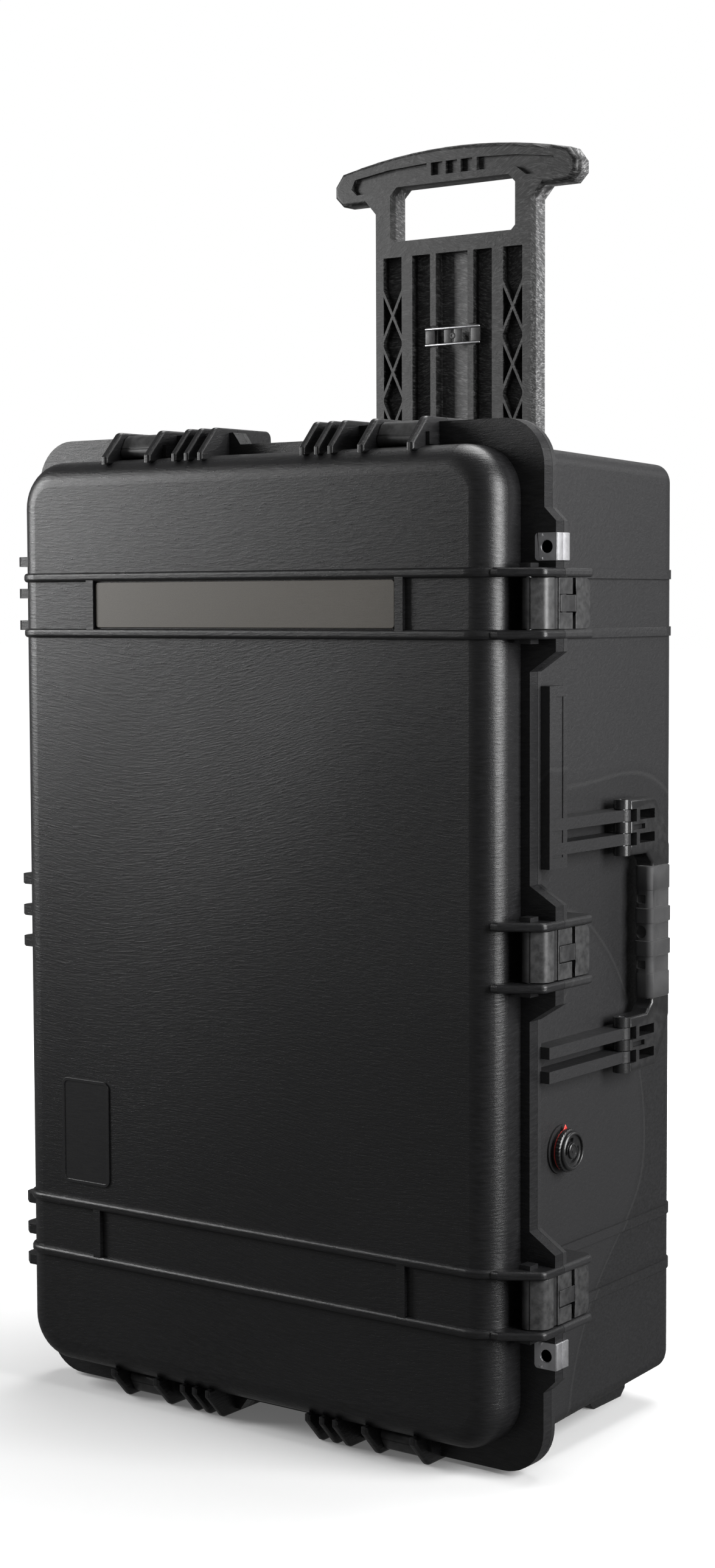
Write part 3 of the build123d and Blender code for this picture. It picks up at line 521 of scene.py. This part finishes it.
knob_low, knob_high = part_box("valve_knob")
knob_centre = middle("valve_knob")
knob_origin = (knob_low.x, knob_centre.y, knob_centre.z)
knob_profile = [
    (0.5, 0), (15.8, 0), (16.6, 0.5), (16.6, 3.6), (15.9, 4.2), (15.2, 4.4), (15.2, 5.6), (14.9, 6.4),
    (14.2, 7.1), (13.4, 7.4), (12.7, 7.1), (12.3, 5.4), (11.7, 5.1), (9.9, 5.0), (9.6, 5.0), (7.1, 5.0),
    (6.6, 5.0), (6.3, 5.1), (6.1, 6.5), (5.6, 6.9), (4.4, 6.9), (4.0, 6.4), (2.2, 6.4), (1.8, 6.9),
    (0.2, 6.9),
]
knob = piece(
    "knob_ribbed", turned(knob_profile, knob_origin, (1, 0, 0), 144, knob_shape),
    GLOSSY, "valve_knob",
)
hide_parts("valve_knob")

# ---------------------------------------------------------------- padlock protectors
HEM_OUT = 0.7              # how far the folded hem stands past the plate
SPUR_Z = 8.6
EYELETS = 4
EYELET_PITCH = 2.2
EYELET_WIRE = 0.35
EYELET_STEP = 45           # degrees round the wire
PADLOCK_R = 5.0
for level in ("upper", "lower"):
    low, high = (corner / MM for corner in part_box(f"padlock_plate_{level}"))
    centre = middle(f"padlock_plate_{level}") / MM
    for number, (y0, y1) in enumerate(((low.y + 0.2, low.y + 7.6), (low.y + 8.2, high.y))):
        hem = slab((high.x - 0.6, y0, low.z + 0.1), (high.x + HEM_OUT, y1, high.z - 0.1), 0.55, 3)
        piece(f"protector_hem_{level}_{number}", hem, STEEL, "lid")
    for side in (-1, 1):
        z = centre.z + side * SPUR_Z
        spur = slab((low.x + 4.4, low.y - 0.7, z - 1.0), (low.x + 7.0, low.y + 0.4, z + 1.0), 0.4)
        piece(f"protector_spur_{level}_{'low' if side < 0 else 'high'}", spur, STEEL, "lid")
    hole_x = mounts[f"padlock_hole_{level}"]["pos_m"][0]
    for number in range(EYELETS):
        ring = [
            (PADLOCK_R + EYELET_WIRE * math.cos(math.radians(a)), EYELET_WIRE * math.sin(math.radians(a)))
            for a in range(0, 361, EYELET_STEP)
        ]
        origin = (hole_x, (low.y + 1.0 + EYELET_PITCH * number) * MM, centre.z * MM)
        piece(f"eyelet_{level}_{number}", turned(ring, origin, (0, 1, 0)), STEEL, "lid")

# ---------------------------------------------------------------- soft sleeve of the carry handle
low, high = (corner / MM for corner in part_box("side_handle_grip"))
# from the top: length of each stretch and how far it stands in (-) or out (+), in mm
STRETCHES = ((19.0, 0.0), (14.7, -0.5), (11.7, 0.5), (14.3, -0.5), (12.1, 0.5), (13.9, -0.5), (19.9, 0.0))
ROUND_PAD = 3              # this stretch carries a round dimple, the other sunk ones a square one
SLEEVE_ROUND = 5.2
sections = []
z = high.z
for number, (length, grow) in enumerate(STRETCHES):
    last = number == len(STRETCHES) - 1
    bottom = low.z if last else z - length
    ends = [(z - 0.25, grow), (bottom + 0.25, grow)]
    if number == 0:
        ends = [(z, grow - 1.2), (z - 0.5, grow - 0.4), (z - 1.3, grow)] + ends[1:]
    if last:
        ends = ends[:1] + [(bottom + 1.3, grow), (bottom + 0.5, grow - 0.4), (bottom, grow - 1.2)]
    for level, swell in ends:
        outline = rounded_outline(
            low.x - swell, high.x + swell, low.y - swell, high.y + swell, SLEEVE_ROUND, 8,
        )
        sections.append([(x * MM, y * MM, level * MM) for x, y in outline])
    z = bottom
cutters = []
z = high.z
for number, (length, grow) in enumerate(STRETCHES):
    if grow < 0:
        level = z - length / 2
        cutters.append(slab(
            (high.x - 1.3, low.y + 8, level - length / 2 + 1.0),
            (high.x + 3, high.y - 3.5, level + length / 2 - 1.0), 0.8,
        ))
        if number == ROUND_PAD:
            disc = [(4.6, 0), (5.2, 0.6), (5.2, 4)]
            place = ((low.x + 6.6) * MM, (low.y + 1.9) * MM, level * MM)
            cutters.append(turned(disc, place, (0, -1, 0), 40))
        else:
            cutters.append(slab(
                (low.x + 2.6, low.y - 3, level - 3.4),
                (low.x + 11.2, low.y + 1.9, level + 3.4), 1.2, 3,
            ))
    z -= length
sleeve = piece("grip_sleeve", cut(loft(sections), cutters), GRIP, "side_handle", 50)
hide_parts("side_handle_grip")

# ---------------------------------------------------------------- steel clip on the pull handle
low, high = (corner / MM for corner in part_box("handle_clip"))
front = low.y - 0.2
for number, z in enumerate((high.z - 1.6, low.z + 1.6)):
    span = high.x - low.x
    wire = [(0.3, 0), (0.85, 0.3), (1.0, 0.9), (1.0, span - 0.9), (0.85, span - 0.3), (0.3, span)]
    body = turned(wire, (low.x * MM, (front + 1.0) * MM, z * MM), (1, 0, 0), 20)
    rod = piece(f"clip_wire_{number}", body, STEEL, "pull_handle")
    if number == 0:
        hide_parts("handle_clip")
LEAVES = ((0, 9.5), (19.5, 27.2), (29.8, 37.5), (47.5, 57))
for number, (x0, x1) in enumerate(LEAVES):
    leaf = slab((low.x + x0, front + 1.1, low.z + 2.8), (low.x + x1, front + 2.4, high.z - 2.8), 0.45)
    piece(f"clip_leaf_{number}", leaf, LATCH, "pull_handle")
stud = [(0.2, 0), (2.6, 0), (2.9, 0.3), (2.9, 1.5), (2.4, 2.0), (1.3, 2.1), (0.2, 1.7)]
stud_place = ((low.x + high.x) / 2 * MM, (front + 2.6) * MM, (low.z + high.z) / 2 * MM)
piece("clip_stud", turned(stud, stud_place, (0, -1, 0), 32), LATCH, "pull_handle")

# ---------------------------------------------------------------- pin heads, axle caps and screws
DOME = [(0.2, 0), (3.0, 0), (3.3, 0.3), (3.2, 0.9), (2.5, 1.5), (1.2, 1.8), (0.2, 1.85)]
for number in (1, 2, 3):
    low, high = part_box(f"hinge_pin_{number}")
    centre = middle(f"hinge_pin_{number}")
    for end, z, axis in (("top", high.z, (0, 0, 1)), ("foot", low.z, (0, 0, -1))):
        dome = turned([(r * 0.95, a) for r, a in DOME], (centre.x, centre.y, z), axis, 32)
        piece(f"hinge_pin_head_{number}_{end}", dome, STEEL, "lid")
CAP = [(0.2, 0), (7.6, 0), (8.0, 0.5), (7.8, 1.4), (6.8, 2.2), (5.4, 2.5), (5.0, 2.1), (0.2, 2.1)]


def screw(name, place, axis, body, size=1.0):
    """Pan head with a cross recess."""
    profile = [(0.2, 0), (3.6, 0), (3.9, 0.4), (3.7, 1.3), (2.9, 2.0), (2.0, 2.2), (0.2, 2.2)]
    head = turned([(r * size, a * size) for r, a in profile], place, axis, 32)
    axis = Vector(axis)
    side = axis.orthogonal().normalized()
    cross = []
    for along in (side, axis.cross(side)):
        across = axis.cross(along)
        top = Vector(place) / MM + axis * 1.1 * size
        points = []
        for a, b in ((-1, -1), (1, -1), (1, 1), (-1, 1)):
            points.append(top + along * a * 1.9 * size + across * b * 0.45 * size)
        cross.append(loft([[p * MM for p in points], [(p + axis * 3) * MM for p in points]]))
    return piece(name, cut(head, cross), STEEL, body)


SCREW_INSET = 0.006
SCREWS = 5
SCREW_FIRST = 0.04
SCREW_PITCH = 0.1425
channel_low, channel_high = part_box("handle_channel")
for side, x in (("left", channel_low.x + SCREW_INSET), ("right", channel_high.x - SCREW_INSET)):
    for number in range(SCREWS):
        z = channel_low.z + SCREW_FIRST + number * SCREW_PITCH
        screw(f"sleeve_screw_{side}_{number}", (x, channel_low.y + 0.003, z), (0, 1, 0), "base")

# ---------------------------------------------------------------- tyres with tread grooves
RUNNING_R = 36.0
TREAD_GROOVES = 30
TREAD_DEPTH = 0.35
TYRE_BORE = 28.0


def tread_shape(radius, along, angle):
    """Shallow cross grooves on the running surface."""
    if radius > RUNNING_R and math.cos(TREAD_GROOVES * angle) > 0.8:
        radius -= TREAD_DEPTH
    return radius, along


for side in ("left", "right"):
    for place in ("inner", "outer"):
        node = f"wheel_tyre_{side}_{place}"
        low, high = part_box(node)
        centre = middle(node)
        width = (high.x - low.x) / MM
        outer = (high.z - low.z) / 2 / MM
        half = [
            (TYRE_BORE, 0.3), (30.5, 0.0), (33.0, 0.2), (35.2, 1.4), (36.3, 3.0),
            (outer - 0.2, 5.0), (outer, 7.4),
        ]
        groove = [(outer, 8.6), (outer - 1.3, 9.0), (outer - 1.3, 10.2), (outer, 10.6)]
        run = half + groove
        run += [(r, width - a) for r, a in reversed(run)]
        run.append((TYRE_BORE, width - 0.3))
        ring = turned(run, (low.x, centre.y, centre.z), (1, 0, 0), 240, tread_shape)
        # the bore is open: its end faces come off
        for face in [f for f in ring.faces if len(f.verts) > 4]:
            ring.faces.remove(face)
        tyre = piece(f"tread_{side}_{place}", ring, TREAD, f"wheel_{side}_{place}", 40)
        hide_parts(node)
        hub_low, hub_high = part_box(f"wheel_hub_{side}_{place}")
        outward = 1 if side == "right" else -1
        x = hub_high.x if outward > 0 else hub_low.x
        cap = turned(CAP, (x, centre.y, centre.z), (outward, 0, 0), 40)
        piece(f"axle_cap_{side}_{place}", cap, BASE, f"wheel_{side}_{place}")

# ---------------------------------------------------------------- floor, light and camera
FLOOR_HALF = 30
FLOOR_FADE = (0.45, 1.3)   # distance from the case over which the floor's glow rises
FLOOR_GLOW = (0.1, 0.9)


def stage_material():
    """Pale floor that fades to plain white away from the case."""
    t = Tree("studio_floor")
    faint = t.noise(t.coordinates, 3.0, 2.0, 0.5)
    t.colour(t.blend(t.ramp(faint, 0.3, 0.7, 0, 1), (0.86, 0.86, 0.86), (0.88, 0.88, 0.88)))
    t.constant("Roughness", 0.85)
    t.constant("Specular IOR Level", 0.1)
    t.constant("Emission Color", (1, 1, 1, 1))
    distance = t.add("ShaderNodeVectorMath", operation="LENGTH")
    t.link(t.coordinates, distance.inputs[0])
    glow = t.ramp(distance.outputs["Value"], *FLOOR_FADE, *FLOOR_GLOW)
    t.link(glow, t.shader.inputs["Emission Strength"])
    return t.material


floor_corners = [(x * FLOOR_HALF, y * FLOOR_HALF, 0) for x, y in ((-1, -1), (1, -1), (1, 1), (-1, 1))]
floor_mesh = bpy.data.meshes.new("studio_floor")
floor_mesh.from_pydata(floor_corners, [], [(0, 1, 2, 3)])
floor = bpy.data.objects.new("studio_floor", floor_mesh)
scene.collection.objects.link(floor)
floor_mesh.materials.append(stage_material())
floor.visible_glossy = False
floor.visible_diffuse = False
floor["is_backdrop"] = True


def softbox(name, place, target, size, power):
    """A soft rectangular light aimed at a point, unseen by the camera."""
    light = bpy.data.lights.new(name, "AREA")
    light.shape = "RECTANGLE"
    light.size, light.size_y = size
    light.energy = power
    obj = bpy.data.objects.new(name, light)
    scene.collection.objects.link(obj)
    obj.visible_camera = False
    obj.location = place
    obj.rotation_euler = (Vector(target) - Vector(place)).to_track_quat("-Z", "Y").to_euler()


softbox("key_left", (-1.62, -0.95, 1.1), (-0.2, -0.1, 0.7), (0.6, 1.1), 30)
softbox("edge_right", (1.75, 0.05, 0.95), (0.22, -0.1, 0.6), (1.0, 1.3), 50)
softbox("side_back", (1.7, 2.1, 1.6), (0.24, 0.05, 0.6), (1.0, 0.7), 5)
softbox("top", (0.0, 0.9, 2.9), (0, 0, 0.3), (2.0, 1.6), 62)

ROOM_LIGHT = 0.13          # what the case is lit and mirrored by; the camera itself sees plain white
world = bpy.data.worlds.new("studio")
scene.world = world
world.use_nodes = True
sky = world.node_tree
dim = sky.nodes["Background"]
dim.inputs["Color"].default_value = (1, 1, 1, 1)
dim.inputs["Strength"].default_value = ROOM_LIGHT
white = sky.nodes.new("ShaderNodeBackground")
white.inputs["Color"].default_value = (1, 1, 1, 1)
white.inputs["Strength"].default_value = 1.0
seen = sky.nodes.new("ShaderNodeLightPath")
either = sky.nodes.new("ShaderNodeMixShader")
sky.links.new(seen.outputs["Is Camera Ray"], either.inputs["Fac"])
sky.links.new(dim.outputs["Background"], either.inputs[1])
sky.links.new(white.outputs["Background"], either.inputs[2])
sky.links.new(either.outputs["Shader"], sky.nodes["World Output"].inputs["Surface"])

AZIMUTH = math.radians(36.3225)
PITCH = math.radians(4.0165)
ROLL = math.radians(-0.2374)
CAMERA_PLACE = (1.2586, -1.7226, 0.6619)
SENSOR_MM = 36.0
LENS_MM = 59.005
forward = Vector((
    -math.sin(AZIMUTH) * math.cos(PITCH), math.cos(AZIMUTH) * math.cos(PITCH), -math.sin(PITCH),
))
level = Vector((math.cos(AZIMUTH), math.sin(AZIMUTH), 0))
upright = level.cross(forward)
right = level * math.cos(ROLL) + upright * math.sin(ROLL)
up = upright * math.cos(ROLL) - level * math.sin(ROLL)
lens = bpy.data.cameras.new("camera")
lens.sensor_width = SENSOR_MM
lens.lens = LENS_MM
lens.clip_end = 100
camera = bpy.data.objects.new("camera", lens)
scene.collection.objects.link(camera)
turn = Matrix((right, up, -forward)).transposed().to_4x4()
camera.matrix_world = Matrix.Translation(CAMERA_PLACE) @ turn
scene.camera = camera
scene.view_settings.view_transform = "Standard"
scene.view_settings.look = "None"

low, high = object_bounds()
